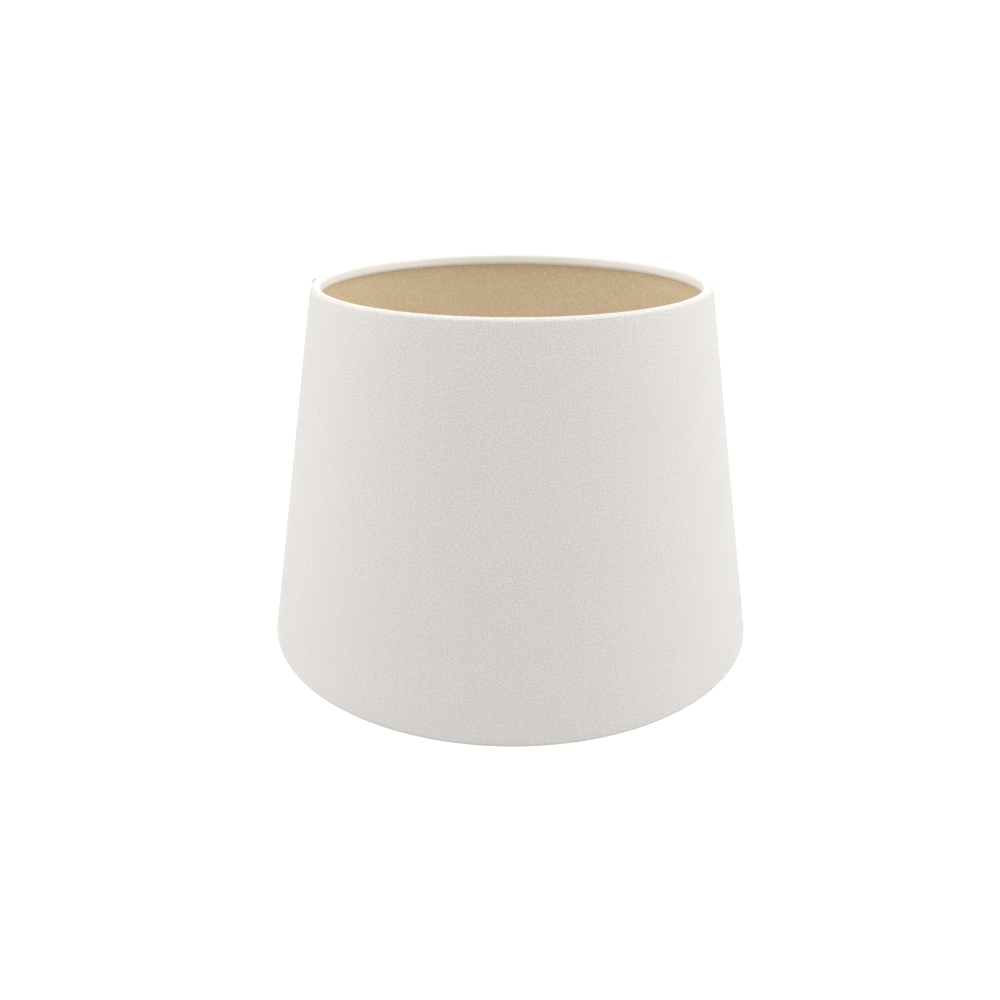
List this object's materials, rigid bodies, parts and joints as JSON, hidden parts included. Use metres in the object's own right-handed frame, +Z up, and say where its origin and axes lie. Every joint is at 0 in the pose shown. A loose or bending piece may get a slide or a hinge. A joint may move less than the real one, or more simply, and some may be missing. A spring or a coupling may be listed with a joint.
{
  "type": "lamp shade",
  "caption": "Tapered hard-lined fabric lamp shade with rolled edges over wire rings, a metallic lining, and a recessed three-arm fitter ring with a loose reducer ring.",
  "frame": {"origin": "centre of the circle that the shade stands on, in the plane of the bottom edge", "axes": "+Z runs up the shade's axis from the wide end to the narrow one; -Y is the front; the cover's seam runs up the -X side, just out of sight from the front"},
  "size_m": [0.2511, 0.2498, 0.178],
  "materials": {
    "cloth": "matt off-white plain-weave cotton blend, fine even grain",
    "lining": "satin champagne-gold metallic face on thin self-adhesive styrene sheet",
    "tape": "thin translucent double-sided tape",
    "ring_wire": "white powder-coated round steel wire",
    "arm_wire": "white powder-coated round steel wire, welded at both ends",
    "fitter_steel": "white powder-coated pressed sheet steel",
    "reducer_plastic": "white heat-resistant moulded plastic, slightly glossy"
  },
  "bodies": {
    "shade": {"fabric_cover": "cloth", "lining_panel": "lining", "seam_tape": "tape", "top_ring": "ring_wire", "bottom_ring": "ring_wire", "top_edge_tape": "tape", "bottom_edge_tape": "tape", "fitter_arm_1": "arm_wire", "fitter_arm_2": "arm_wire", "fitter_arm_3": "arm_wire", "fitter_ring": "fitter_steel"},
    "reducer": {"reducer_ring": "reducer_plastic"}
  },
  "joints": [
    {"name": "reducer_lift", "type": "slide", "parent": "shade", "child": "reducer", "axis": [0, 0, 1], "range_m": [0, 0.165]}
  ]
}
